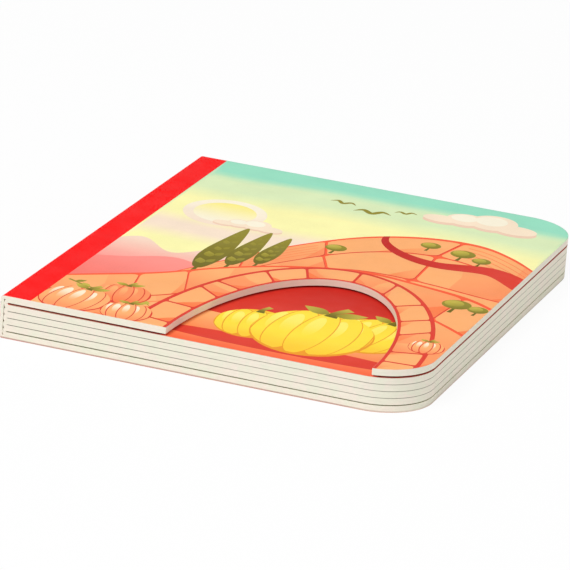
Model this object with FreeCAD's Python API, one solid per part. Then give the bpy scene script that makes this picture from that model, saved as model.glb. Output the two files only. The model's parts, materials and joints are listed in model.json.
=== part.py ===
import FreeCAD, Part
import os
from FreeCAD import Vector

# A board book lying shut on its back cover, in millimetres.
# X runs from the spine to the fore edge, Y from the tail to the head, Z up through the boards.
# The origin is in the middle of its underside.
#
# Every spread is one sheet of card folded once, and a leaf is two such sheets glued back to back.
# The cover is one more sheet, wrapped round the spreads and glued to the outermost two.

# Driving sizes
cover_width = 137.0
cover_height = 170.0
sheet = 1.05
leaf_count = 4
leaf_gap = 0.1
front_gap = 0.65
back_gap = 0.35
fore_corner_radius = 17.5
spine_corner_radius = 1.1

# The folds stand clear of the inside of the spine, with a groove between one and the next
spine_clearance = 0.1
groove_depth = 0.45

# The arched window, half an ellipse that stands on the tail edge of the front cover
window_from_spine = 88.7
window_half_width = 33.6
window_height = 72.0

# Sizes and places that follow from them
board = 2 * sheet
leaf_pitch = board + leaf_gap
block_bottom = board + back_gap
block_top = block_bottom + leaf_count * leaf_pitch - leaf_gap
book_thickness = block_top + front_gap + board

spine_x = -cover_width / 2
fore_x = cover_width / 2
tail_y = -cover_height / 2
spine_inner_x = spine_x + sheet
fold_tip_x = spine_inner_x + spine_clearance
groove_x = fold_tip_x + groove_depth
crease_x = fold_tip_x + sheet

tolerance = 1e-6
along_y = Vector(0, 1, 0)
along_z = Vector(0, 0, 1)


def slab(low_z, high_z, low_x=spine_x, high_x=fore_x):
    """A block as long as the book, between two heights and two distances from the spine."""
    corner = Vector(low_x, tail_y, low_z)
    return Part.makeBox(high_x - low_x, cover_height, high_z - low_z, corner)


def edges_along(solid, direction, x):
    """The straight edges of a box that run in one direction at one distance from the spine."""
    return [edge for edge in solid.Edges
            if abs(edge.tangentAt(edge.FirstParameter).dot(direction)) > 1 - tolerance
            and abs(edge.CenterOfMass.x - x) < tolerance]


def closed_book():
    """The shut book as a solid block, round at its fore-edge corners and along its spine."""
    block = slab(0, book_thickness)
    block = block.makeFillet(fore_corner_radius, edges_along(block, along_z, fore_x))
    return block.makeFillet(spine_corner_radius, edges_along(block, along_y, spine_x))


def fold_arc(low_groove_z, high_groove_z):
    """The outside of one fold, from the groove under it round its tip to the groove over it."""
    tip_z = (low_groove_z + high_groove_z) / 2
    start = Vector(groove_x, tail_y, low_groove_z)
    tip = Vector(fold_tip_x, tail_y, tip_z)
    end = Vector(groove_x, tail_y, high_groove_z)
    return Part.Arc(start, tip, end).toShape()


def folded_spreads(book):
    """All the spreads pressed together: a fold for each of them at the spine, flush at the fore edge."""
    low, high = sheet, book_thickness - sheet
    leaf_middles = [block_bottom + sheet + leaf * leaf_pitch for leaf in range(leaf_count)]
    grooves = [low] + leaf_middles + [high]
    folds = [fold_arc(*pair) for pair in zip(grooves, grooves[1:])]
    corners = [Vector(groove_x, tail_y, high), Vector(fore_x, tail_y, high),
               Vector(fore_x, tail_y, low), Vector(groove_x, tail_y, low)]
    sides = [Part.makeLine(*pair) for pair in zip(corners, corners[1:])]
    section = Part.Face(Part.Wire(folds + sides))
    return section.extrude(along_y * cover_height).common(book)


def cover_wrap(book):
    """The cover sheet: it runs over the front, down the spine and under the back in one piece."""
    return book.cut(slab(sheet, book_thickness - sheet, low_x=spine_inner_x))


def window_cutter():
    """The arch, standing upright through the front cover."""
    centre = Vector(spine_x + window_from_spine, tail_y, block_top)
    crown = centre + Vector(0, window_height, 0)
    foot = centre + Vector(window_half_width, 0, 0)
    outline = Part.Ellipse(crown, foot, centre).toShape()
    return Part.Face(Part.Wire(outline)).extrude(along_z * book_thickness)


def cover(wrap, spreads, low_z, high_z):
    """A cover board: the wrap outside and half of the outermost spread inside, glued together."""
    level = slab(low_z, high_z)
    return wrap.common(level).fuse(spreads.common(level)).removeSplitter()


def page_block(spreads):
    """The leaves, open from the fore edge to the crease of each spread and joined by their folds."""
    block = spreads.common(slab(block_bottom, block_top))
    for leaf in range(1, leaf_count):
        gap_top = block_bottom + leaf * leaf_pitch
        block = block.cut(slab(gap_top - leaf_gap, gap_top, low_x=crease_x))
    return block


def hinge_strip(low_z, high_z):
    """The creased strip between a cover and the block, where the wrap and a spread's fold bend."""
    return slab(low_z, high_z, high_x=crease_x)


def build():
    book = closed_book()
    wrap = cover_wrap(book)
    spreads = folded_spreads(book)
    front_board = block_top + front_gap
    return {
        "front_cover": cover(wrap, spreads, front_board, book_thickness).cut(window_cutter()),
        "front_hinge": hinge_strip(block_top, front_board),
        "spine": wrap.common(slab(block_bottom, block_top)),
        "pages": page_block(spreads),
        "back_hinge": hinge_strip(board, block_bottom),
        "back_cover": cover(wrap, spreads, 0, board),
    }


os.makedirs("parts", exist_ok=True)
for name, shape in build().items():
    solid = shape.Solids[0] if len(shape.Solids) == 1 else shape
    solid.exportStep(os.path.join("parts", name + ".step"))
    print(name, len(shape.Solids), "solid,", round(shape.Volume / 1000, 2), "cm3")
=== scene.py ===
import bpy
import json
import math
import random
import numpy as np
from mathutils import Matrix, Vector
from mathutils.geometry import delaunay_2d_cdt


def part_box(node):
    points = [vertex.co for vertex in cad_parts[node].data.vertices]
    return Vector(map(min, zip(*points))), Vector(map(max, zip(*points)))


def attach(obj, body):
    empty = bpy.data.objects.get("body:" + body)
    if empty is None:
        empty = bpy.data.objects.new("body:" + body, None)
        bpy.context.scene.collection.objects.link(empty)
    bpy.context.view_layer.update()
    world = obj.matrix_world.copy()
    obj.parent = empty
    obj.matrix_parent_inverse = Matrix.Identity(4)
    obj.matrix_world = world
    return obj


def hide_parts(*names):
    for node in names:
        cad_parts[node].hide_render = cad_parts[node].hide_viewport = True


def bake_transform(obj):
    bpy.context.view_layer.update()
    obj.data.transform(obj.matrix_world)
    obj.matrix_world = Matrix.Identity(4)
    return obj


# A board book that lies shut: printed sheets go over the boards that the frame brings.
# Drawings are in millimetres on the page, u away from the spine and v up from the tail.
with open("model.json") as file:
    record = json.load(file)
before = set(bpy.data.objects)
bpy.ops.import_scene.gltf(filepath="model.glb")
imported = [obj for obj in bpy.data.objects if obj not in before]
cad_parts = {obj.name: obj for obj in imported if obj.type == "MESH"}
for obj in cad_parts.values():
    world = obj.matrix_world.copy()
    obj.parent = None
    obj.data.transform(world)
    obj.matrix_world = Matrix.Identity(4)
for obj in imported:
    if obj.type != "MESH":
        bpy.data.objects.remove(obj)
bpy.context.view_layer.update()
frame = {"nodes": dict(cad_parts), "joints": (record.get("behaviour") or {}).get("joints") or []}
mm = 0.001

coverLow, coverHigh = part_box("front_cover")
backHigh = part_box("back_cover")[1]
pagesLow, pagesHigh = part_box("pages")
hingeHeights = {joint["name"]: joint["pos_m"][2] / mm for joint in frame["joints"]}

book = {
    "width": (coverHigh.x - coverLow.x) / mm,
    "height": (coverHigh.y - coverLow.y) / mm,
    "thickness": coverHigh.z / mm,
    "spineX": coverLow.x / mm,
    "tailY": coverLow.y / mm,
    "coverUnder": coverLow.z / mm,
    "blockTop": pagesHigh.z / mm,
    "blockUnder": pagesLow.z / mm,
    "backTop": backHigh.z / mm,
    "frontHinge": hingeHeights["front_cover_hinge"],
    "backHinge": hingeHeights["back_cover_hinge"],
    "sheet": 1.05,
    "leafGap": 0.1,
    "cornerRadius": 17.5,
    "spineRadius": 1.1,
    "crease": 2.2,
    "bandWidth": 10,
}
window = {"centre": 88.7, "halfWidth": 33.6, "height": 72.0}

inks = {
    "bandRed": (253, 12, 14),
    "mint": (154, 226, 196),
    "paleGreen": (222, 239, 190),
    "paleYellow": (255, 250, 178),
    "peach": (251, 229, 206),
    "cream": (253, 238, 208),
    "boneWhite": (253, 232, 204),
    "boneShade": (243, 208, 182),
    "boneLine": (214, 142, 118),
    "milk": (255, 246, 222),
    "pink": (255, 150, 140),
    "deepPink": (249, 124, 112),
    "apricot": (255, 178, 114),
    "orange": (255, 150, 96),
    "warmOrange": (253, 128, 74),
    "deepOrange": (252, 98, 60),
    "brick": (224, 64, 48),
    "darkRed": (196, 36, 30),
    "maroon": (150, 28, 26),
    "russet": (202, 94, 74),
    "sage": (182, 180, 134),
    "olive": (196, 180, 74),
    "moss": (148, 138, 44),
    "darkOlive": (112, 102, 28),
    "lemon": (255, 240, 112),
    "yellow": (255, 226, 66),
    "gold": (255, 204, 54),
    "amber": (240, 156, 40),
}


# Outlines

def smoothLine(points, closed=False, steps=8):
    knots = np.array(points, float)
    if closed:
        knots = np.vstack([knots[-1:], knots, knots[:2]])
    else:
        knots = np.vstack([2 * knots[:1] - knots[1:2], knots, 2 * knots[-1:] - knots[-2:-1]])
    t = np.linspace(0, 1, steps, endpoint=False)[:, None]
    runs = []
    for a, b, c, d in zip(knots, knots[1:], knots[2:], knots[3:]):
        runs.append(0.5 * (2 * b + (c - a) * t + (2 * a - 5 * b + 4 * c - d) * t ** 2
                           + (3 * b - a - 3 * c + d) * t ** 3))
    line = np.vstack(runs)
    return line if closed else np.vstack([line, knots[-2:-1]])


def turned(centre, turn, x, y):
    c, s = math.cos(math.radians(turn)), math.sin(math.radians(turn))
    return centre[0] + x * c - y * s, centre[1] + x * s + y * c


def oval(centre, halfSize, turn=0, count=32, start=0, end=360):
    angles = np.radians(np.linspace(start, end, count, endpoint=end - start < 360))
    return np.column_stack(turned(centre, turn, halfSize[0] * np.cos(angles), halfSize[1] * np.sin(angles)))


def along(line, t):
    steps = np.r_[0, np.cumsum(np.linalg.norm(np.diff(line, axis=0), axis=1))]
    return np.column_stack([np.interp(np.clip(t, 0, 1) * steps[-1], steps, line[:, k]) for k in (0, 1)])


def hill(crest, floor=-4):
    line = smoothLine(crest)
    return np.vstack([line, [(line[-1, 0], floor), (line[0, 0], floor)]])


def ribbon(points, widths):
    line = smoothLine(points)
    slope = np.gradient(line, axis=0)
    side = np.column_stack([-slope[:, 1], slope[:, 0]]) / np.linalg.norm(slope, axis=1)[:, None]
    half = np.interp(np.linspace(0, 1, len(line)), np.linspace(0, 1, len(widths)), widths)[:, None] / 2
    return np.vstack([line + side * half, (line - side * half)[::-1]])


def rounded(outline, rounds=2):
    for _ in range(rounds):
        ahead = np.roll(outline, -1, axis=0)
        outline = np.stack([0.78 * outline + 0.22 * ahead, 0.22 * outline + 0.78 * ahead], 1).reshape(-1, 2)
    return outline


def inset(outline, distance):
    before, after = outline - np.roll(outline, 1, axis=0), np.roll(outline, -1, axis=0) - outline
    normals = []
    for step in (before, after):
        step = step / np.linalg.norm(step, axis=1)[:, None]
        normals.append(np.column_stack([-step[:, 1], step[:, 0]]))
    both = normals[0] + normals[1]
    return outline + both * distance / (1 + (normals[0] * normals[1]).sum(1))[:, None]


def holds(outline, points):
    x, y = points[:, 0], points[:, 1]
    odd = np.zeros(len(points), bool)
    for (x0, y0), (x1, y1) in zip(outline, np.roll(outline, -1, axis=0)):
        if y0 != y1:
            odd ^= ((y0 > y) != (y1 > y)) & (x < (x1 - x0) * (y - y0) / (y1 - y0) + x0)
    return odd


# Inks: a flat colour, a fade between two, or a stack of soft bands

def flat(ink):
    colour = np.array(inks[ink]) / 255
    return lambda points: np.tile(colour, (len(points), 1))


def fade(first, second, start, end):
    a, b = np.array(inks[first]) / 255, np.array(inks[second]) / 255
    start, run = np.array(start, float), np.subtract(end, start).astype(float)

    def paint(points):
        t = np.clip((points - start) @ run / (run @ run), 0, 1)
        t = (t * t * (3 - 2 * t))[:, None]
        return a * (1 - t) + b * t
    return paint


def skyBands(bands, wave):
    heights = np.array([height for height, _ in bands])
    colours = np.array([inks[ink] for _, ink in bands]) / 255

    def paint(points):
        u, v = points[:, 0], points[:, 1]
        v = v + wave * (np.sin(u / 19 + 0.6) + 0.5 * np.sin(u / 8.3 + v / 31))
        return np.column_stack([np.interp(v, heights, colours[:, k]) for k in range(3)])
    return paint


class Drawing:
    # Shapes in the order they are printed: a later one covers what is under it

    def __init__(self, ground):
        self.shapes = [(None, ground, None)]

    def add(self, outline, paint, inside=None):
        paint = flat(paint) if isinstance(paint, str) else paint
        self.shapes.append((np.array(outline, float), paint, inside))


fields = {"seam": 0.42, "wander": 0.2, "slant": 0.26, "shadow": (0.45, -0.5), "furrow": 0.5}


def sampled(corners, count=4):
    corners = np.array(corners, float)
    t = np.linspace(0, 1, count, endpoint=False)[None, :, None]
    return (corners[:, None] * (1 - t) + np.roll(corners, -1, axis=0)[:, None] * t).reshape(-1, 2)


def patchwork(drawing, lower, upper, columns, seed, tones, furrowShare=0.3):
    # Fields in rows between two lines: each has a lit side and a shaded foot, with a dark seam under it
    draw = random.Random(seed)
    rows = len(columns)
    length = np.linalg.norm(np.diff(lower, axis=0), axis=1).sum()
    rise = np.linalg.norm(along(upper, np.array([0.5])) - along(lower, np.array([0.5])))
    phases = [draw.uniform(0, 6.3) for _ in range(rows + 1)]
    cells = []
    for row, count in enumerate(columns):
        foot = [0.0] + [(k + draw.uniform(-0.2, 0.2)) / count for k in range(1, count)] + [1.0]
        head = [0.0] + [t + draw.uniform(-1, 1) * fields["slant"] / count for t in foot[1:-1]] + [1.0]
        for sides in zip(foot, foot[1:], head, head[1:]):
            cells.append((row, sides))

    def level(k, t):
        return k / rows + (0 < k < rows) * fields["wander"] / rows * np.sin(7 * t + phases[k])

    def place(cell, corners, count=4):
        row, (foot0, foot1, head0, head1) = cell
        a, b = sampled(corners, count).T
        side, up = fields["seam"] / length, fields["seam"] / rise
        atFoot = foot0 + side + (foot1 - foot0 - 2 * side) * a
        atHead = head0 + side + (head1 - head0 - 2 * side) * a
        t = atFoot * (1 - b) + atHead * b
        r = (level(row, t) + up) * (1 - b) + (level(row + 1, t) - up) * b
        return along(lower, t) * (1 - r[:, None]) + along(upper, t) * r[:, None]

    outlines = [rounded(place(cell, [(0, 0), (1, 0), (1, 1), (0, 1)])) for cell in cells]
    for outline in outlines:
        drawing.add(outline + fields["shadow"], "brick")
    for cell, outline in zip(cells, outlines):
        shade, body, light = draw.choice(tones)
        bottom, top = outline[outline[:, 1].argmin()], outline[outline[:, 1].argmax()]
        drawing.add(outline, fade(body, light, bottom, top + (0, 9)))
        lean = draw.uniform(0.3, 0.72)
        tip = min(max(lean + draw.uniform(-0.3, 0.3), 0.12), 0.88)
        waist = 0.5 * (lean + tip) + 0.06
        lit = place(cell, [(-0.1, -0.1), (lean, -0.1), (waist, 0.5), (tip, 1.1), (-0.1, 1.1)])
        drawing.add(lit, fade(body, light, bottom, 0.5 * (bottom + top)), outline)
        heel, rear = draw.uniform(0.35, 0.75), draw.uniform(0.4, 0.95)
        dark = place(cell, [(heel, -0.1), (1.1, -0.1), (1.1, rear), (0.5 * heel + 0.52, 0.24)])
        drawing.add(dark, fade(shade, body, bottom, top), outline)
        if draw.random() < furrowShare:
            width = fields["furrow"] / rise * rows / 2
            for b in (0.26, 0.44, 0.62, 0.8):
                low, high = b - width, b + width
                line = place(cell, [(0.08, low), (0.92, low), (0.92, high), (0.08, high)], 6)
                drawing.add(line, shade, outline)


def leafShape(foot, length, turn, fatness=0.3):
    t = np.linspace(0, 1, 10)
    bulge = fatness * length * np.sin(np.pi * t ** 0.8) / 1.6
    blade = np.vstack([np.column_stack([t * length, bulge]), np.column_stack([t * length, -bulge])[-2:0:-1]])
    return np.column_stack(turned(foot, turn, *blade.T))


pumpkinInks = {
    "golden": ("amber", "gold", "yellow", "lemon"),
    "russet": ("brick", "warmOrange", "orange", "apricot"),
    "peach": ("brick", "orange", "apricot", "cream"),
    "pale": ("boneLine", "boneShade", "boneWhite", "milk"),
}


def pumpkin(drawing, centre, halfSize, kind, turn=0, leaves=True):
    line, shade, body, light = pumpkinInks[kind]
    wide, tall = halfSize

    def place(x, y):
        return turned(centre, turn, x * wide, y * tall)
    whole = oval(centre, halfSize, turn, 40)
    drawing.add(oval(place(0.02, -0.06), (wide * 1.02, tall * 1.02), turn, 40), line)
    drawing.add(whole, fade(line, shade, place(0, -1), place(0, 0.2)))
    rim = 0.35
    for across, width, height in ((0.66, 0.3, 0.88), (0.38, 0.34, 0.97), (0, 0.3, 1.02)):
        for side in ((-1, 1) if across else (1,)):
            at = side * across
            middle = place(at, -0.02)
            drawing.add(oval(middle, (wide * width + rim, tall * height), turn), line, whole)
            rib = oval(middle, (wide * width, tall * height - rim), turn)
            drawing.add(rib, fade(shade, body, place(at, -1), place(at, -0.1)), whole)
            gleam = oval(place(at - width * 0.22, 0.26), (wide * width * 0.42, tall * height * 0.46), turn)
            drawing.add(gleam, fade(body, light, place(at, -0.3), place(at, 0.5)), rib)
    widths = [wide * 0.24, wide * 0.13, wide * 0.18]
    stem = ribbon([place(0, 0.8), place(0.04, 1.04), place(0.2, 1.26)], widths)
    drawing.add(stem, fade("darkOlive", "olive", place(0, 0.8), place(0.1, 1.3)))
    for side in (-1, 1) if leaves else ():
        drawing.add(leafShape(place(side * 0.06, 0.9), wide * 0.55, turn + 90 - side * 66, 0.4),
                    fade("moss", "olive", place(0, 0.9), place(side * 0.5, 1.1)))


def vine(drawing, points, leafLength, seed):
    draw = random.Random(seed)
    line = smoothLine(points)
    drawing.add(ribbon(points, [0.9, 0.7, 0.4]), "moss")
    steps = np.linspace(0.08, 0.98, max(3, int(len(points) * 1.6)))
    for k, spot in enumerate(along(line, steps)):
        side = 1 if k % 2 else -1
        length, turn = leafLength * draw.uniform(0.8, 1.2), 90 + side * draw.uniform(30, 65)
        drawing.add(leafShape(spot, length, turn, 0.42), "olive" if k % 3 else "moss")


def poplar(drawing, foot, height, width, lean=0):
    def place(across, up, leaning=0):
        return foot[0] + width * across + lean * leaning, foot[1] + height * up

    drawing.add(ribbon([foot, place(0, 0.3, 0.2)], [width * 0.16, width * 0.1]), "darkOlive")
    crown = smoothLine([place(-0.22, 0.14), place(-0.5, 0.36), place(-0.42, 0.64, 0.5), place(0, 1, 1),
                        place(0.42, 0.62, 0.5), place(0.5, 0.34), place(0.2, 0.13)], closed=True)
    drawing.add(crown, fade("darkOlive", "moss", place(0.5, 0), place(-0.3, 1)))
    for k in range(5):
        rise = 0.2 + 0.145 * k
        share = (0.5 - 0.07 * k) * (1 if k % 2 else 0.85)
        drawing.add(leafShape(place(-0.05, rise, rise), width * share * 1.5, 112, 0.5),
                    fade("moss", "olive", place(0, rise), place(-share, rise + 0.2)), crown)
        drawing.add(leafShape(place(0.08, rise + 0.04, rise), width * share * 1.2, 66, 0.42), "moss", crown)


def roundTree(drawing, foot, radius):
    def place(across, up):
        return foot[0] + radius * across, foot[1] + radius * up

    drawing.add(ribbon([foot, place(0.1, 1.1)], [radius * 0.3, radius * 0.18]), "darkOlive")
    drawing.add(oval(place(0, 1.75), (radius, radius * 0.92)),
                fade("darkOlive", "moss", place(1, 0), place(0, 2)))
    drawing.add(oval(place(-0.22, 1.93), (radius * 0.66, radius * 0.6)),
                fade("moss", "olive", place(0.4, 1), place(-0.3, 2.4)))
    drawing.add(oval(place(-0.4, 2.13), (radius * 0.26, radius * 0.2)), "olive")


def cloud(drawing, centre, size):
    # The same lobes three times: their shade, their body and a light on the middle two
    lobes = np.array([(-0.78, -0.04, 0.36, 0.2), (-0.36, 0.14, 0.38, 0.34),
                      (0.14, 0.24, 0.46, 0.44), (0.62, 0.04, 0.42, 0.26)])
    for chosen, shift, share, ink in ((lobes, (0.03, -0.13), 1, "boneShade"), (lobes, (0, 0), 1, "boneWhite"),
                                      (lobes[1:3], (-0.06, 0.08), (0.66, 0.62), "milk")):
        for lobe in chosen:
            drawing.add(oval(centre + (lobe[:2] + shift) * size, lobe[2:] * size * share), ink)


def gull(drawing, centre, size, turn):
    wing = [(-1, 0.1), (-0.5, 0.42), (0, 0), (0.5, 0.42), (1, 0.1)]
    points = [turned(centre, turn, size * x, size * y) for x, y in wing]
    drawing.add(ribbon(points, [0.2, 0.3 * size, 0.34 * size, 0.3 * size, 0.2]), "moss")


# The pictures

landTones = [("warmOrange", "orange", "apricot"), ("deepOrange", "warmOrange", "orange"),
             ("warmOrange", "orange", "apricot"), ("warmOrange", "apricot", "apricot")]


doorway = {"gap": (0.7, 0.7), "stones": (11.4, 10.6), "brick": (12.4, 11.6)}


def spineBand(art):
    art.add([(-20, -4), (book["bandWidth"], -4), (book["bandWidth"], 180), (-20, 180)], "bandRed")


def coverPicture():
    sky = [(0, "cream"), (60, "cream"), (72, "paleYellow"), (82, "paleYellow"), (93, "peach"), (100, "peach"),
           (110, "paleYellow"), (128, "paleYellow"), (141, "paleGreen"), (153, "paleGreen"), (159, "mint"),
           (180, "mint")]
    art = Drawing(skyBands(sky, 1.6))
    art.add(oval((30, 116), (14, 14), count=48), fade("peach", "milk", (30, 100), (30, 130)))
    art.add(oval((30, 116), (10.5, 10.5), count=48), fade("milk", "lemon", (30, 104), (30, 136)))
    cloud(art, (42, 107), 11)
    cloud(art, (108, 152), 18)
    for centre, size, turn in (((72, 143), 6.4, 8), ((60, 148), 4.6, -4), ((82, 149), 3.8, 14)):
        gull(art, centre, size, turn)

    # distant hills
    art.add(hill([(4, 66), (16, 78), (30, 68), (44, 80), (62, 66)]),
            fade("pink", "peach", (20, 44), (20, 84)))
    art.add(hill([(4, 50), (18, 56), (34, 64), (52, 54), (66, 46)]),
            fade("deepPink", "pink", (20, 30), (24, 64)))

    # the high hill, with a lane over it
    crest = [(36, 48), (50, 76), (62, 98), (78, 118), (96, 129), (114, 131), (128, 124), (141, 112)]
    highHill = hill(crest)
    art.add(highHill, "deepOrange")
    upper = smoothLine([(x, y - 1.0) for x, y in crest])
    lower = smoothLine([(38, 30), (60, 44), (84, 62), (110, 66), (141, 66)])
    patchwork(art, lower, upper, (4, 4, 4), 19, landTones)
    lane = [(141, 97), (126, 107), (108, 104), (95, 108), (86, 117), (84, 127)]
    art.add(ribbon(lane, [10, 8, 6, 4.4, 2.8, 1.4]),
            fade("darkRed", "brick", (86, 120), (140, 106)), highHill)
    for foot, radius in (((112, 112), 4.2), ((119.5, 110), 3.2), ((100, 116), 3.4), ((74, 96), 3.6)):
        roundTree(art, foot, radius)

    # the middle hill, with poplars along its crest
    crest = [(4, 26), (18, 36), (34, 48), (50, 64), (68, 77), (90, 85), (112, 82), (128, 78), (141, 70)]
    upper = smoothLine([(x, y - 1.1) for x, y in crest])
    for foot, height, width in (((42, 53), 52, 8.6), ((50, 62), 43, 7.6), ((57.5, 69), 34, 6.6)):
        poplar(art, foot, height, width, 0.8)
    art.add(hill(crest), "deepOrange")
    lower = smoothLine([(4, -6), (24, -6), (46, -4), (60, 24), (88, 50), (118, 36), (130, 10), (141, -4)])
    patchwork(art, lower, upper, (6, 6), 7, landTones)
    for foot, radius in (((126, 62), 4.8), ((133.5, 63), 3.4)):
        roundTree(art, foot, radius)

    # the doorway in the hillside
    centre, size = (window["centre"], 0), (window["halfWidth"], window["height"])
    reach = np.add(size, doorway["brick"])
    ring = oval(centre, reach, count=72, start=0, end=180)
    art.add(np.vstack([ring, [(centre[0] - reach[0], -4), (centre[0] + reach[0], -4)]]), "brick")
    inner, outer = (oval(centre, np.add(size, doorway[part]), count=72, start=-6, end=186)
                    for part in ("gap", "stones"))
    patchwork(art, inner, outer, (14,), 23, landTones[:1] + landTones[3:], furrowShare=0)

    # pumpkins by the doorway
    vine(art, [(12, 26), (22, 22), (32, 24), (43, 16)], 4.4, 3)
    pumpkin(art, (32, 22), (8.5, 9), "russet", turn=8)
    pumpkin(art, (20.5, 10), (11, 11.5), "peach", turn=-5)
    pumpkin(art, (39, 7), (8, 8.5), "peach", turn=9)
    pumpkin(art, (130.5, 27), (5.6, 6), "peach", turn=6)

    spineBand(art)
    return art


def cellarPicture():
    # Seen through the doorway on the first page, and all of it when the cover is open
    art = Drawing(fade("darkRed", "maroon", (90, 20), (20, 150)))
    for side in (1, -1):
        for reach, ink in ((76, "maroon"), (62, "darkRed"), (50, "maroon"), (42, "darkRed")):
            art.add(oval((side * 84, 6), (reach, reach * 1.95), count=60), ink)
        art.add(oval((side * 86, 30), (30, 48), count=60),
                fade("darkRed", "brick", (side * 86, 90), (side * 86, 20)))
        for row, start in enumerate((112, 127, 142, 157)):
            for k in range(7):
                u = 10 + 18 * k + 9 * (row % 2)
                near, far = side * u, side * (u + 14)
                brickwork = sampled([(near, start), (far, start), (far, start + 9), (near, start + 9)])
                art.add(rounded(brickwork), fade("brick", "darkRed", (near, 100), (near, 175)))
        art.add(hill([(-3, 24), (20, 27), (52, 30), (90, 26), (118, 29), (141, 24)]) * (side, 1),
                fade("warmOrange", "apricot", (0, 4), (0, 30)))
        art.add(hill([(-3, 11), (30, 13), (64, 9), (104, 13), (141, 8)]) * (side, 1),
                fade("deepOrange", "orange", (0, -4), (0, 14)))
        art.add(oval((side * 90, 9.5), (44, 5)), "brick")
        if side == 1:
            pumpkin(art, (74, 26), (12, 13), "golden", turn=8, leaves=False)
            pumpkin(art, (110, 35), (14, 16), "golden", turn=-9)
            pumpkin(art, (93, 28), (19, 20.5), "golden")
        pumpkin(art, (side * 36, 26), (17, 17), "golden", turn=3)
        pumpkin(art, (side * 17, 14), (10, 9), "russet", turn=10)
        art.add(ribbon([(side * 44, 172), (side * 45, 124), (side * 44, 106)], [0.8, 0.8, 0.8]), "boneLine")
        art.add(oval((side * 44, 97), (8, 10)), "amber")
        art.add(oval((side * 44, 97), (6, 8.4)), fade("gold", "lemon", (side * 44, 89), (side * 44, 105)))
        for height in (87, 107):
            art.add(oval((side * 44, height), (4.6, 1.5)), "boneLine")
    # a brownish border along the tail, but not in the doorway, and round the fore edge and the head
    border = 1.6
    foot, reach = window["centre"], window["halfWidth"] + 1.5
    for low, high in ((-141, -3), (3, foot - reach), (foot + reach, 141)):
        side = math.copysign(1, low)
        art.add([(low, -4), (high, -4), (high, border), (low, border)],
                fade("boneLine", "russet", (4 * side, 0), (60 * side, 0)))
    r, width, height = (book[size] - border for size in ("cornerRadius", "width", "height"))
    edge = np.vstack([oval((width - r, border + r), (r, r), count=12, start=270, end=359.9),
                      oval((width - r, height - r), (r, r), count=12, start=0, end=90),
                      [(3, height), (3, 175), (141, 175), (141, border)]])
    for side in (1, -1):
        art.add(edge * (side, 1), "russet")
    return art


endpaper = {"panelMargin": 3, "grid": (10, 13), "spacing": 11.2, "leafLength": 3.4, "thickness": 0.012,
            "sunk": 0.004, "seed": 4}


def endpaperPicture():
    art = Drawing(flat("sage"))
    low = endpaper["panelMargin"]
    far, high = book["width"] - low, book["height"] - low
    panel = rounded(sampled([(low, low), (far, low), (far, high), (low, high)]), 4)
    for side in (1, -1):
        art.add(panel * (side, 1), fade("peach", "paleYellow", (0, 10), (0, 165)))
    return art


def backPicture():
    sky = [(0, "cream"), (70, "cream"), (96, "paleYellow"), (128, "paleGreen"), (150, "mint"), (180, "mint")]
    art = Drawing(skyBands(sky, 1.8))
    art.add(oval((92, 124), (15, 15), count=48), fade("peach", "milk", (92, 108), (92, 140)))
    cloud(art, (46, 132), 16)
    cloud(art, (106, 116), 10)
    art.add(hill([(4, 74), (30, 88), (62, 80), (96, 92), (141, 78)]),
            fade("pink", "peach", (70, 54), (70, 94)))
    crest = [(4, 56), (30, 50), (60, 62), (92, 76), (120, 70), (141, 58)]
    art.add(hill(crest), "deepOrange")
    lower = smoothLine([(4, -4), (70, -6), (141, -4)])
    patchwork(art, lower, smoothLine([(x, y - 1.1) for x, y in crest]), (4, 5, 5), 31, landTones)
    for foot, height, width in (((104, 66), 32, 8.5), ((113, 66), 25, 7)):
        poplar(art, foot, height, width, -0.6)
    vine(art, [(20, 12), (40, 10), (62, 14), (80, 8)], 5, 8)
    pumpkin(art, (42, 26), (19, 15.5), "pale", turn=-4)
    pumpkin(art, (67, 17), (11, 9), "golden", turn=7)
    spineBand(art)
    return art


# Sheets

sheets = {"wrapFilm": 0.05, "spreadFilm": 0.03, "rim": 0.28, "gridStep": 3.2, "gridMargin": 0.8,
          "weld": 0.003, "bendSteps": (0.15, 0.1, 0.05, 0, -0.05, -0.1, -0.15), "besideFold": 0.3,
          "foldFilm": 0.06, "halfFold": 0.01, "opening": 0.35, "inkedPast": 0.4}


def cornerLoop(foreU, notch=False):
    # The outline of one board, from the spine along the tail, round the fore edge and back along the head
    r, width, height = book["cornerRadius"], book["width"], book["height"]
    tail = oval((width - r, r), (r, r), count=19, start=270, end=359.99)
    head = oval((width - r, height - r), (r, r), count=19, start=0, end=90)
    points = [(foreU, 0)]
    if notch:
        middle, half = window["centre"], window["halfWidth"]
        arch = oval((middle, 0), (half, window["height"]), count=73, start=0, end=180)[::-1]
        foot = middle + half  # it stands on the round corner
        arch[-1] = (foot, r - math.sqrt(r ** 2 - (foot - width + r) ** 2))
        tail = tail[tail[:, 0] > foot]
        points += [tuple(p) for p in arch]
    return np.vstack([points, tail, head, [(foreU, height)]])


def wrapPlace(front):
    # The cover sheet: flat over the board, round the spine's corner and down to the middle of the spine
    r, half = book["spineRadius"], book["thickness"] / 2
    quarter = r * math.pi / 2

    def place(points, lift):
        u = points[:, 0]
        w = np.maximum(r - u, 0)
        turn = np.minimum(w, quarter) / r
        x = np.where(u > r, u, r - (r + lift) * np.sin(turn))
        height = np.where(u > r, half + lift, half - r + (r + lift) * np.cos(turn))
        height -= np.maximum(w - quarter, 0)
        z = half + height if front else half - height
        return np.column_stack([book["spineX"] + x, book["tailY"] + points[:, 1], z])
    return place


def wrapFolds(front):
    r, half = book["spineRadius"], book["thickness"] / 2
    quarter = r * math.pi / 2
    hinge = book["frontHinge"] - half if front else half - book["backHinge"]
    around = [r - quarter * k / 8 for k in range(9)]
    bend = [r - quarter - (half - r - (hinge + step)) for step in sheets["bendSteps"]]
    return around + bend


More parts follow.
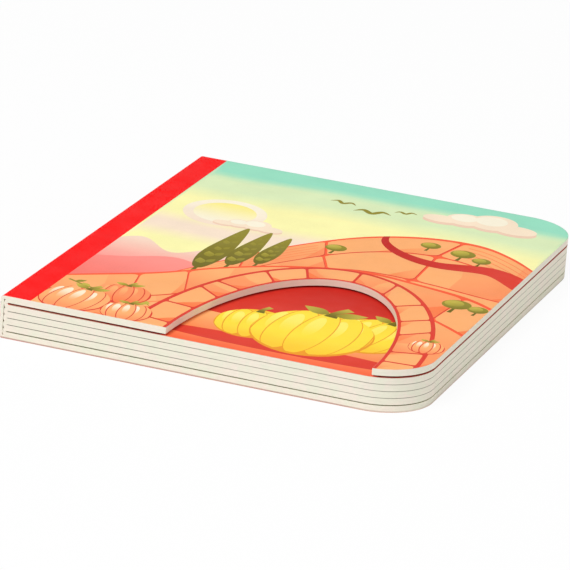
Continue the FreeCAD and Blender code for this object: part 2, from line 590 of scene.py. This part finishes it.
def spreadPlace(front):
    # A spread folded at the spine: one leaf glued inside the cover, the other on the block
    hinge = book["frontHinge"] if front else book["backHinge"]
    near, far = (book["blockTop"], book["coverUnder"]) if front else (book["blockUnder"], book["backTop"])
    crease = book["crease"]

    def place(points, lift):
        s = points[:, 0]
        u, onBlock = np.abs(s), s >= 0
        sign = np.where(onBlock, 1, -1) * (1 if front else -1)
        glued = np.where(onBlock, near, far)
        open_ = np.clip((u - crease) / sheets["opening"], 0, 1)
        full = (hinge - glued) - sign * sheets["halfFold"]
        rise = np.where(lift > 0, sign * lift * open_ + full * (1 - open_), 0)
        z = glued + rise
        x = u.copy()
        fold = u < 1e-6
        z = np.where(fold, hinge, z)
        x = np.where(fold, sheets["foldFilm"] if lift > 0 else 0.0, x)
        return np.column_stack([book["spineX"] + x, book["tailY"] + points[:, 1], z])
    return place


def gridPoints(outline):
    step = sheets["gridStep"]
    spans = zip(outline.min(0), outline.max(0))
    u, v = np.meshgrid(*(np.arange(low + step / 2, high, step) for low, high in spans))
    u = u + (np.arange(u.shape[0]) % 2)[:, None] * step / 2
    points = np.column_stack([u.ravel(), v.ravel()])
    return points[holds(inset(outline, sheets["gridMargin"]), points)]


def printedSheet(name, outline, drawing, place, thickness, foldLines=(), inkedFrom=1000, seam=False):
    # the print colours the sheet's cut edge from inkedFrom on, measured from the spine
    rim = sheets["rim"]
    loops = [outline, inset(outline, rim)] + [shape for shape, _, _ in drawing.shapes if shape is not None]
    points, edges = [], []
    for loop in loops:
        start = len(points)
        points += [tuple(p) for p in loop]
        edges += [(start + k, start + (k + 1) % len(loop)) for k in range(len(loop))]
    for u in foldLines:
        edges.append((len(points), len(points) + 1))
        points += [(u, -6), (u, book["height"] + 6)]
    points += [tuple(p) for p in gridPoints(outline)]
    verts, _, faces, *_ = delaunay_2d_cdt([Vector(p) for p in points], edges, [], 0, sheets["weld"])
    verts = np.array([tuple(v) for v in verts])
    faces = np.array([f for f in faces if len(f) == 3])
    a, b, c = (verts[faces[:, k]] for k in range(3))
    doubled = (b[:, 0] - a[:, 0]) * (c[:, 1] - a[:, 1]) - (b[:, 1] - a[:, 1]) * (c[:, 0] - a[:, 0])
    faces[doubled < 0] = faces[doubled < 0][:, ::-1]
    middles = verts[faces].mean(1)
    keep = holds(outline, middles) & (abs(doubled) > 1e-7)
    faces, middles = faces[keep], middles[keep]
    used, faces = np.unique(faces, return_inverse=True)
    faces = faces.reshape(-1, 3)
    verts = verts[used]

    layer = np.zeros(len(faces), int)
    for number, (shape, _, inside) in enumerate(drawing.shapes):
        if shape is not None:
            low, high = shape.min(0), shape.max(0)
            near = np.where(((middles > low) & (middles < high)).all(1))[0]
            hit = holds(shape, middles[near])
            if inside is not None:
                hit &= holds(inside, middles[near])
            layer[near[hit]] = number
    corners = verts[faces.reshape(-1)]
    owner = np.repeat(layer, 3)
    ink = np.zeros((len(corners), 3))
    for number in np.unique(layer):
        mine = owner == number
        ink[mine] = drawing.shapes[number][1](corners[mine])

    # rim: 1 on the cut edge and 0 just inside it, but a seam down the spine isn't a cut edge
    nearRim = ~holds(inset(outline, rim * 0.5), verts)
    if seam:
        nearRim &= verts[:, 0] > outline[:, 0].min() + rim
    top, under = place(verts, thickness), place(verts, 0.0)
    count = len(verts)
    directed = {}
    for number, face in enumerate(faces):
        for k in range(3):
            directed[(face[k], face[(k + 1) % 3])] = (number, k)
    walls, wallInk, wallSlots = [], [], []
    for (p, q), (number, k) in directed.items():
        if (q, p) not in directed:
            walls += [(q, p, p + count), (q, p + count, q + count)]
            pair = (ink[number * 3 + k], ink[number * 3 + (k + 1) % 3])
            wallInk += [pair[1], pair[0], pair[0], pair[1], pair[0], pair[1]]
            wallSlots += [int(max(abs(verts[p, 0]), abs(verts[q, 0])) < inkedFrom)] * 2
    allFaces = np.vstack([faces, faces[:, ::-1] + count, np.array(walls)])
    underInk = ink.reshape(-1, 3, 3)[:, ::-1].reshape(-1, 3)
    allInk = np.vstack([ink, underInk, np.array(wallInk)])
    spots = np.vstack([top, under]) * mm
    a, b, c = (spots[faces[:, k]] for k in range(3))
    outward = (spots[:count] - spots[count:])[faces[:, 0]]
    if (np.cross(b - a, c - a) * outward).sum() < 0:
        allFaces = allFaces[:, ::-1]
        allInk = allInk.reshape(-1, 3, 3)[:, ::-1].reshape(-1, 3)

    mesh = bpy.data.meshes.new(name)
    mesh.from_pydata([tuple(p) for p in spots], [], [tuple(int(i) for i in f) for f in allFaces])
    linear = np.where(allInk <= 0.04045, allInk / 12.92, ((allInk + 0.055) / 1.055) ** 2.4)
    colours = mesh.color_attributes.new("ink", "FLOAT_COLOR", "CORNER")
    colours.data.foreach_set("color", np.column_stack([linear, np.ones(len(linear))]).ravel())
    rimValue = mesh.attributes.new("rim", "FLOAT", "POINT")
    rimValue.data.foreach_set("value", np.r_[nearRim, nearRim].astype(float))
    slots = np.ones(len(allFaces), int)
    slots[:len(faces)] = 0
    slots[2 * len(faces):] = wallSlots
    mesh.polygons.foreach_set("material_index", slots)
    smooth = np.zeros(len(allFaces), bool)
    smooth[:2 * len(faces)] = True
    mesh.polygons.foreach_set("use_smooth", smooth)
    mesh.update()
    piece = bpy.data.objects.new(name, mesh)
    bpy.context.scene.collection.objects.link(piece)
    return piece


# Finishes

def feed(tree, node, values):
    # Each value is a socket to link or a fixed number, vector or colour
    for key, value in dict(values).items():
        if isinstance(value, bpy.types.NodeSocket):
            tree.links.new(value, node.inputs[key])
        else:
            node.inputs[key].default_value = value


def newNode(tree, kind, values=(), **settings):
    node = tree.nodes.new(kind)
    for name, setting in settings.items():
        setattr(node, name, setting)
    feed(tree, node, values)
    return node


def newMaterial(name):
    material = bpy.data.materials.new(name)
    material.use_nodes = True
    return material, material.node_tree, material.node_tree.nodes["Principled BSDF"]


def noise(tree, scale, detail, stretch=(1, 1, 1)):
    place = newNode(tree, "ShaderNodeTexCoord").outputs["Object"]
    mapping = newNode(tree, "ShaderNodeMapping", {"Vector": place, "Scale": stretch})
    values = {"Vector": mapping.outputs["Vector"], "Scale": scale, "Detail": detail}
    return newNode(tree, "ShaderNodeTexNoise", values).outputs["Fac"]


def between(tree, source, low, high, start=0.3, end=0.7):
    # low where the source is at start, high where it is at end
    values = {"Value": source, "From Min": start, "From Max": end, "To Min": low, "To Max": high}
    return newNode(tree, "ShaderNodeMapRange", values).outputs["Result"]


def maths(tree, operation, *values):
    return newNode(tree, "ShaderNodeMath", enumerate(values), operation=operation).outputs[0]


def product(tree, *factors):
    total = factors[0]
    for factor in factors[1:]:
        total = maths(tree, "MULTIPLY", total, factor)
    return total


def mixColour(tree, blend, factor, first, second):
    values = {0: factor, 6: first, 7: second}
    return newNode(tree, "ShaderNodeMix", values, data_type="RGBA", blend_type=blend).outputs[2]


def bumps(tree, shader, layers):
    # Each layer is (height, depth in metres, strength), laid over the one before
    before = {}
    for height, depth, strength in layers:
        values = {"Height": height, "Distance": depth, "Strength": strength, **before}
        before = {"Normal": newNode(tree, "ShaderNodeBump", values).outputs["Normal"]}
    feed(tree, shader, before)


printFinish = {"roughness": (0.34, 0.46), "gloss": 0.018, "mottle": (0.97, 1.03), "grain": (0.982, 1.018),
               "scuffs": (0.15, 1.0), "rimWearAndHighlight": 0.3, "wornAndLitTint": (0.9, 0.86, 0.76, 1)}


def laminatedPrint():
    # Offset print under a semi-matt film, paler where the die has cut it: partly wear, partly a painted
    # highlight on the cut edge
    material, tree, shader = newMaterial("laminatedPrint")
    ink = newNode(tree, "ShaderNodeAttribute", attribute_name="ink").outputs["Color"]
    mottle = between(tree, noise(tree, 90, 5), *printFinish["mottle"])
    grain = between(tree, noise(tree, 2400, 2), *printFinish["grain"])
    tone = product(tree, mottle, grain)
    shade = newNode(tree, "ShaderNodeCombineColor", {"Red": tone, "Green": tone, "Blue": tone})
    colour = mixColour(tree, "MULTIPLY", 1.0, ink, shade.outputs[0])
    # the pale rim is partly wear and partly a painted highlight along the cut edge
    rim = newNode(tree, "ShaderNodeAttribute", attribute_name="rim").outputs["Fac"]
    scuffs = between(tree, noise(tree, 420, 4), *printFinish["scuffs"])
    wearAndHighlight = product(tree, rim, scuffs, printFinish["rimWearAndHighlight"])
    feed(tree, shader, {"Base Color": mixColour(tree, "MIX", wearAndHighlight, colour, printFinish["wornAndLitTint"]),
                        "Roughness": between(tree, noise(tree, 160, 4), *printFinish["roughness"]),
                        "Specular IOR Level": printFinish["gloss"]})
    bumps(tree, shader, [(noise(tree, 45, 2), 0.0006, 0.12), (noise(tree, 1500, 3), 0.00002, 0.35)])
    return material


# Board tints. Two of them stand for shade: painted shade in the gaps between the leaves, and ink with a
# painted contact shadow along the lowest edge
boardFinish = {"pale": (0.90, 0.84, 0.72, 1), "fibre": (0.77, 0.71, 0.60, 1), "blush": (0.96, 0.81, 0.72, 1),
               "green": (0.80, 0.83, 0.66, 1), "glueLine": (0.66, 0.61, 0.50, 1),
               "paintedGapShade": (0.25, 0.23, 0.18, 1), "inkAndContactShade": (0.50, 0.32, 0.27, 1), "gloss": 0.08,
               "gapShadeRange": (-0.965, -0.93), "towardsFore": (1.0, 0.6, -0.035, 0.01),
               "markHeight": (0.22, 0.6), "markAlong": (1.0, 0.35, 0.045, 0.066)}


def cutBoard(name, glueHeight=None, leaves=False, marked=False):
    # The die-cut edge of the board: fine plies, loose fibres and the glue line between its two sheets
    material, tree, shader = newMaterial(name)
    layers = [(between(tree, noise(tree, 1, 3, (160, 160, 5200)), 0.0, 0.55), "fibre"),
              (between(tree, noise(tree, 900, 4), 0.0, 0.5), "blush"),
              (between(tree, noise(tree, 230, 4), 0.0, 0.55, 0.38, 0.62), "green")]
    place = newNode(tree, "ShaderNodeTexCoord").outputs["Object"]
    spot = newNode(tree, "ShaderNodeSeparateXYZ", {"Vector": place}).outputs
    if glueHeight is not None:
        perLeaf = 2 * math.pi / ((2 * book["sheet"] + book["leafGap"]) * mm)
        turns = maths(tree, "MULTIPLY_ADD", spot["Z"], perLeaf, -perLeaf * glueHeight * mm)
        wave = maths(tree, "COSINE", turns)
        layers.append((between(tree, wave, 0.0, 0.22, 0.975, 1.0), "glueLine"))
    if leaves:
        # painted shade darkens the two corners of each leaf beside the gaps between leaves, less towards the
        # fore edge, but not its fold at the spine
        besideGap = between(tree, wave, 1.0, 0.0, *boardFinish["gapShadeRange"])
        creaseX = (book["spineX"] + book["crease"]) * mm
        pastFold = between(tree, spot["X"], 0.0, 1.0, creaseX, creaseX + 0.0006)
        towardsFore = between(tree, spot["X"], *boardFinish["towardsFore"])
        layers.append((product(tree, besideGap, pastFold, towardsFore), "paintedGapShade"))
    if marked:
        # ink drawn over by the die, with a painted contact shadow where the book meets the floor, darkens the
        # lowest edge, least at the fore edge
        low, high = boardFinish["markHeight"]
        outer = between(tree, spot["Z"], 1.0, 0.0, low * mm, high * mm)
        awayFromFore = between(tree, spot["X"], *boardFinish["markAlong"])
        layers.append((product(tree, outer, awayFromFore), "inkAndContactShade"))
    colour = boardFinish["pale"]
    for factor, tint in layers:
        colour = mixColour(tree, "MIX", factor, colour, boardFinish[tint])
    feed(tree, shader, {"Base Color": colour, "Specular IOR Level": boardFinish["gloss"],
                        "Roughness": between(tree, noise(tree, 700, 3), 0.82, 0.96)})
    bumps(tree, shader, [(noise(tree, 1, 4, (500, 500, 6500)), 0.00004, 0.5),
                         (noise(tree, 2600, 3), 0.00002, 0.4)])
    return material


def spotInk(name, ink):
    material, tree, shader = newMaterial(name)
    pale = [(c / 255) ** 2.2 for c in inks[ink]]
    specks = between(tree, noise(tree, 1100, 3), 0.0, 0.5)
    tint = mixColour(tree, "MIX", specks, (*pale, 1), (*[c * 0.8 for c in pale], 1))
    feed(tree, shader, {"Base Color": tint,
                        "Roughness": between(tree, noise(tree, 300, 3), *printFinish["roughness"]),
                        "Specular IOR Level": printFinish["gloss"]})
    bumps(tree, shader, [(noise(tree, 1500, 3), 0.00002, 0.3)])
    return material


printInk, board = laminatedPrint(), cutBoard("cutBoard")
nodeBoards = {
    "front_cover": cutBoard("frontBoard", book["coverUnder"] + book["sheet"]),
    "back_cover": cutBoard("backBoard", book["backTop"] - book["sheet"], marked=True),
    "spine": board,
    "pages": cutBoard("leafBoard", book["blockUnder"] + book["sheet"], leaves=True),
}
for node, material in nodeBoards.items():
    for materialSlot in frame["nodes"][node].material_slots:
        materialSlot.material = material
print("finishes made")

# The printed sheets
midSpine = 2 * book["spineRadius"] - book["thickness"] / 2 - book["spineRadius"] * math.pi / 2


def spreadOutline(notch):
    right, left = cornerLoop(0), cornerLoop(0, notch) * (-1, 1)
    return np.vstack([right[1:-1], left[::-1][1:-1]])


def finishSheet(piece, replaced=None):
    piece.data.materials.append(printInk)
    piece.data.materials.append(board)
    if replaced:
        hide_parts(replaced)
    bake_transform(piece)
    print(piece.name, len(piece.data.polygons), "faces")


coverFront = printedSheet("cover_print_front", cornerLoop(midSpine, notch=True), coverPicture(),
                          wrapPlace(True), sheets["wrapFilm"], wrapFolds(True), inkedFrom=0, seam=True)
finishSheet(coverFront)
coverBack = printedSheet("cover_print_back", cornerLoop(midSpine), backPicture(),
                         wrapPlace(False), sheets["wrapFilm"], wrapFolds(False), inkedFrom=0, seam=True)
finishSheet(coverBack)
crease = book["crease"]
foldLines = (sheets["besideFold"], crease, crease + sheets["opening"])
spreadFolds = [side * u for u in foldLines for side in (-1, 1)] + [0]
firstSpread = printedSheet("first_spread", spreadOutline(True), cellarPicture(), spreadPlace(True),
                           sheets["spreadFilm"], spreadFolds, inkedFrom=crease + sheets["inkedPast"])
finishSheet(firstSpread,
            "front_hinge")
lastSpread = printedSheet("last_spread", spreadOutline(False), endpaperPicture(), spreadPlace(False),
                          sheets["spreadFilm"], spreadFolds)
finishSheet(lastSpread,
            "back_hinge")
print("sheets printed")


# The leaf pattern on the last spread: one sprig, repeated in staggered rows

def sprigMesh():
    size, high = endpaper["leafLength"], endpaper["thickness"]
    outlines = [leafShape((0, 0.3 * size), size, 90, 0.34),
                leafShape((0.14 * size, 0.06 * size), size * 0.8, 38, 0.36),
                leafShape((-0.14 * size, 0.06 * size), size * 0.8, 142, 0.36),
                np.array([(-0.07, -0.8), (0.07, -0.8), (0.03, 0), (-0.03, 0)]) * size]
    verts, faces = [], []
    for outline in outlines:
        outline = outline[::2] if len(outline) > 8 else outline
        x, y = outline[:, 0], outline[:, 1]
        if (x * np.roll(y, -1) - y * np.roll(x, -1)).sum() < 0:
            outline = outline[::-1]
        first, count = len(verts), len(outline)
        verts += [(x * mm, y * mm, z * mm) for z in (0, high) for x, y in outline]
        underside, face = range(first + count - 1, first - 1, -1), range(first + count, first + 2 * count)
        faces += [tuple(underside), tuple(face)]
        faces += [(first + k, first + (k + 1) % count, first + count + (k + 1) % count, first + count + k)
                  for k in range(count)]
    mesh = bpy.data.meshes.new("sprig")
    mesh.from_pydata(verts, [], faces)
    return mesh


def sprigTree():
    tree = bpy.data.node_groups.new("endpaperPattern", "GeometryNodeTree")
    face, nodes, link = tree.interface, tree.nodes, tree.links.new
    face.new_socket("Sprig", in_out="INPUT", socket_type="NodeSocketGeometry")
    for name, kind in (("Columns", "Int"), ("Rows", "Int"), ("Spacing", "Float"), ("Centre", "Vector"),
                       ("Turn Over", "Float"), ("Seed", "Int"), ("Material", "Material")):
        face.new_socket(name, in_out="INPUT", socket_type="NodeSocket" + kind)
    face.new_socket("Pattern", in_out="OUTPUT", socket_type="NodeSocketGeometry")
    given, result = nodes.new("NodeGroupInput").outputs, nodes.new("NodeGroupOutput")

    grid = nodes.new("GeometryNodeMeshGrid")
    link(given["Columns"], grid.inputs["Vertices X"])
    link(given["Rows"], grid.inputs["Vertices Y"])
    for count, size in (("Columns", "Size X"), ("Rows", "Size Y")):
        steps = maths(tree, "SUBTRACT", given[count], 1)
        link(maths(tree, "MULTIPLY", steps, given["Spacing"]), grid.inputs[size])

    # every other row is half a step along
    split = nodes.new("ShaderNodeSeparateXYZ")
    link(nodes.new("GeometryNodeInputPosition").outputs[0], split.inputs[0])
    rowNumber = maths(tree, "ROUND", maths(tree, "DIVIDE", split.outputs["Y"], given["Spacing"]))
    halfStep = maths(tree, "MULTIPLY", given["Spacing"], 0.5)
    shift = nodes.new("ShaderNodeCombineXYZ")
    link(maths(tree, "MULTIPLY", maths(tree, "PINGPONG", rowNumber, 1), halfStep), shift.inputs["X"])
    stagger = nodes.new("GeometryNodeSetPosition")
    link(grid.outputs["Mesh"], stagger.inputs["Geometry"])
    link(shift.outputs[0], stagger.inputs["Offset"])

    turn = nodes.new("FunctionNodeRandomValue")
    turn.data_type = "FLOAT"
    floats = [socket for socket in turn.inputs if socket.type == "VALUE"]
    floats[0].default_value, floats[1].default_value = -0.7, 0.7
    link(given["Seed"], turn.inputs["Seed"])
    spin = nodes.new("ShaderNodeCombineXYZ")
    link([socket for socket in turn.outputs if socket.type == "VALUE"][0], spin.inputs["Z"])
    place = nodes.new("GeometryNodeInstanceOnPoints")
    link(stagger.outputs["Geometry"], place.inputs["Points"])
    link(given["Sprig"], place.inputs["Instance"])
    link(spin.outputs[0], place.inputs["Rotation"])

    over = nodes.new("ShaderNodeCombineXYZ")
    link(given["Turn Over"], over.inputs["Y"])
    move = nodes.new("GeometryNodeTransform")
    link(place.outputs["Instances"], move.inputs["Geometry"])
    link(given["Centre"], move.inputs["Translation"])
    link(over.outputs[0], move.inputs["Rotation"])
    real = nodes.new("GeometryNodeRealizeInstances")
    link(move.outputs["Geometry"], real.inputs["Geometry"])
    paint = nodes.new("GeometryNodeSetMaterial")
    link(real.outputs["Geometry"], paint.inputs["Geometry"])
    link(given["Material"], paint.inputs["Material"])
    link(paint.outputs["Geometry"], result.inputs["Pattern"])
    return tree


def sprigPattern(name, tree, body, level, turnOver, seed):
    piece = bpy.data.objects.new(name, sprigMesh())
    bpy.context.scene.collection.objects.link(piece)
    pattern = piece.modifiers.new("pattern", "NODES")
    pattern.node_group = tree
    columns, rows = endpaper["grid"]
    values = {"Columns": columns, "Rows": rows, "Spacing": endpaper["spacing"] * mm, "Turn Over": turnOver,
              "Centre": ((book["spineX"] + book["width"] / 2) * mm, 0, level * mm), "Seed": seed,
              "Material": leafInk}
    for socket in tree.interface.items_tree:
        if socket.name in values:
            pattern[socket.identifier] = values[socket.name]
    laid = piece.evaluated_get(bpy.context.evaluated_depsgraph_get())
    piece.data = bpy.data.meshes.new_from_object(laid)
    piece.modifiers.clear()
    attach(piece, body)
    print(name, len(piece.data.polygons), "faces")


leafInk = spotInk("leafInk", "olive")
patternTree = sprigTree()
proud = sheets["spreadFilm"] - endpaper["sunk"]
sprigPattern("endpaper_leaves_block", patternTree, "block", book["blockUnder"] - proud, math.pi,
             endpaper["seed"])
sprigPattern("endpaper_leaves_back", patternTree, "back", book["backTop"] + proud, 0.0,
             endpaper["seed"] + 1)

# The floor, the light and the camera
studio = {"floorSize": 6.0, "white": 0.92, "backdropGlow": 0.92, "world": 0.4,
          "key": (34.0, (-0.55, -1.17, 1.85), 1.1), "fill": (7.0, (1.75, -0.1, 0.9), 1.4)}


def seenDirectly(tree):
    # 1 for the camera and in reflections, 0 where the surface lights something else
    rays = newNode(tree, "ShaderNodeLightPath").outputs
    seen = maths(tree, "MAXIMUM", rays["Is Camera Ray"], rays["Is Glossy Ray"])
    return maths(tree, "MAXIMUM", seen, rays["Is Transmission Ray"])


def makeFloor():
    half = studio["floorSize"] / 2
    mesh = bpy.data.meshes.new("floor")
    level = -sheets["wrapFilm"] * mm
    mesh.from_pydata([(-half, -half, level), (half, -half, level), (half, half, level), (-half, half, level)],
                     [], [(0, 1, 2, 3)])
    floor = bpy.data.objects.new("floor", mesh)
    bpy.context.scene.collection.objects.link(floor)
    material, tree, shader = newMaterial("studioFloor")
    feed(tree, shader, {"Base Color": (studio["white"],) * 3 + (1,), "Roughness": 0.9,
                        "Specular IOR Level": 0.1})
    share = product(tree, seenDirectly(tree), studio["backdropGlow"])
    glow = newNode(tree, "ShaderNodeEmission").outputs[0]
    mixer = newNode(tree, "ShaderNodeMixShader", {0: share, 1: shader.outputs[0], 2: glow})
    feed(tree, tree.nodes["Material Output"], {"Surface": mixer.outputs[0]})
    mesh.materials.append(material)


def makeLamp(name, power, place, size):
    lamp = bpy.data.lights.new(name, "AREA")
    lamp.energy, lamp.size = power, size
    holder = bpy.data.objects.new(name, lamp)
    holder.location = place
    holder.rotation_mode = "QUATERNION"
    holder.rotation_quaternion = (-Vector(place)).to_track_quat("-Z", "Y")
    bpy.context.scene.collection.objects.link(holder)


def makeWorld():
    world = bpy.data.worlds.new("studio")
    world.use_nodes = True
    tree = world.node_tree
    strength = between(tree, seenDirectly(tree), studio["world"], 1.0, 0.0, 1.0)
    feed(tree, tree.nodes["Background"], {"Color": (1, 1, 1, 1), "Strength": strength})
    bpy.context.scene.world = world


cameraFit = {"pixels": 4688.66, "photoWidth": 570, "sensor": 36, "yaw": 18.8292, "pitch": 18.8527,
             "roll": 4.6615, "aim": (59.457, 96.727), "distance": 1527.54}


def makeCamera():
    a, e, q = (math.radians(cameraFit[key]) for key in ("yaw", "pitch", "roll"))
    back = Vector((math.sin(a) * math.cos(e), -math.cos(a) * math.cos(e), math.sin(e)))
    right = Vector((math.cos(a), math.sin(a), 0))
    up = back.cross(right)
    rolledRight = right * math.cos(q) + up * math.sin(q)
    rolledUp = up * math.cos(q) - right * math.sin(q)
    aim = Vector((book["spineX"] + cameraFit["aim"][0], book["tailY"] + cameraFit["aim"][1], 0))
    lens = bpy.data.cameras.new("camera")
    lens.sensor_width = cameraFit["sensor"]
    lens.lens = cameraFit["pixels"] / cameraFit["photoWidth"] * cameraFit["sensor"]
    lens.clip_start, lens.clip_end = 0.05, 20
    camera = bpy.data.objects.new("camera", lens)
    camera.matrix_world = Matrix.Translation((aim + back * cameraFit["distance"]) * mm) @ Matrix(
        (rolledRight, rolledUp, back)).transposed().to_4x4()
    bpy.context.scene.collection.objects.link(camera)
    bpy.context.scene.camera = camera


makeFloor()
makeWorld()
for lampName in ("key", "fill"):
    makeLamp(lampName, *studio[lampName])
makeCamera()
bpy.context.scene.view_settings.view_transform = "Standard"
print("studio set")
